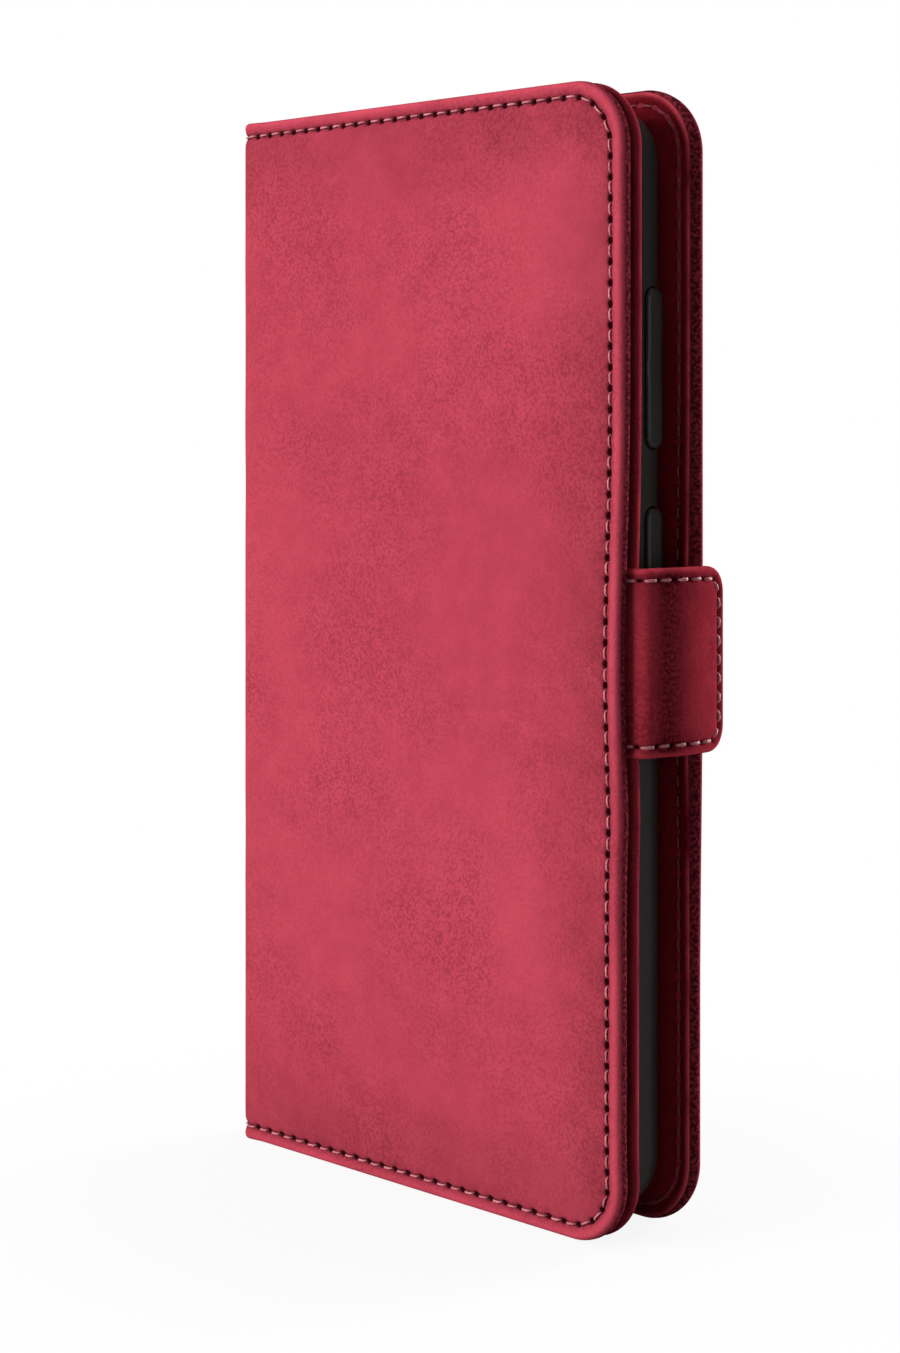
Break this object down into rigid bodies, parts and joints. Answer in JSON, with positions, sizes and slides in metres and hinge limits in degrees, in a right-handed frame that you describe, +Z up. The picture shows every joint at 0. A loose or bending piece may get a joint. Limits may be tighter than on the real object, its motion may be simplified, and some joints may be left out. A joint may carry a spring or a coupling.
{
  "type": "phone wallet case",
  "caption": "Folding leather wallet case for a phone, with a soft black shell inside, card and cash pockets in the front cover, and a magnetic closing strap.",
  "frame": {"origin": "middle of the bottom of the closed case's bounding box, strap included", "axes": "+Z up along the covers' long side, +X from the spine to the open side, +Y from the front cover to the back cover"},
  "size_m": [0.087, 0.0196, 0.167],
  "materials": {
    "leather": "semi-matte grained synthetic leather, wine red",
    "pocket_leather": "semi-matte grained synthetic leather, wine red",
    "lining": "smooth matte lining, dark wine red",
    "thread": "waxed polyester thread",
    "board": "pressed fibre board",
    "steel": "plain steel",
    "magnet": "nickel plated",
    "adhesive": "double-sided adhesive",
    "shell": "satin black soft plastic"
  },
  "bodies": {
    "back_cover": {"back_cover_skin": "leather", "back_board": "board", "back_infill": "board", "back_lining": "lining", "back_cover_stitching": "thread", "catch_plate": "steel", "shell_adhesive_pad": "adhesive", "phone_shell": "shell"},
    "spine": {"spine_skin": "leather", "spine_board": "board", "spine_lining": "lining", "spine_stitching": "thread"},
    "front_cover": {"front_cover_skin": "leather", "front_board": "board", "front_infill": "board", "front_lining": "lining", "cash_pocket_panel": "pocket_leather", "card_pocket_1": "pocket_leather", "card_pocket_2": "pocket_leather", "card_pocket_3": "pocket_leather", "card_pocket_stitching": "thread", "front_cover_stitching": "thread", "strap_root": "leather"},
    "strap": {"strap_outer_skin": "leather", "strap_stiffener": "board", "strap_magnet": "magnet", "strap_inner_skin": "pocket_leather", "strap_stitching": "thread"},
    "volume_button": {"volume_button_cover": "shell"},
    "power_button": {"power_button_cover": "shell"}
  },
  "joints": [
    {"name": "spine_fold", "type": "hinge", "parent": "back_cover", "child": "spine", "pos_m": [-0.04295, 0.0073, 0], "axis": [0, 0, -1], "range_deg": [0, 175]},
    {"name": "cover_fold", "type": "hinge", "parent": "spine", "child": "front_cover", "pos_m": [-0.04295, -0.0093, 0], "axis": [0, 0, -1], "range_deg": [0, 175]},
    {"name": "strap_fold", "type": "hinge", "parent": "front_cover", "child": "strap", "pos_m": [0.04165, -0.0071, 0.0835], "axis": [0, 0, -1], "range_deg": [0, 110]},
    {"name": "volume_press", "type": "slide", "parent": "back_cover", "child": "volume_button", "axis": [-1, 0, 0], "range_m": [0, 0.0004], "stiffness_N_per_m": 4000},
    {"name": "power_press", "type": "slide", "parent": "back_cover", "child": "power_button", "axis": [-1, 0, 0], "range_m": [0, 0.0004], "stiffness_N_per_m": 4000}
  ]
}
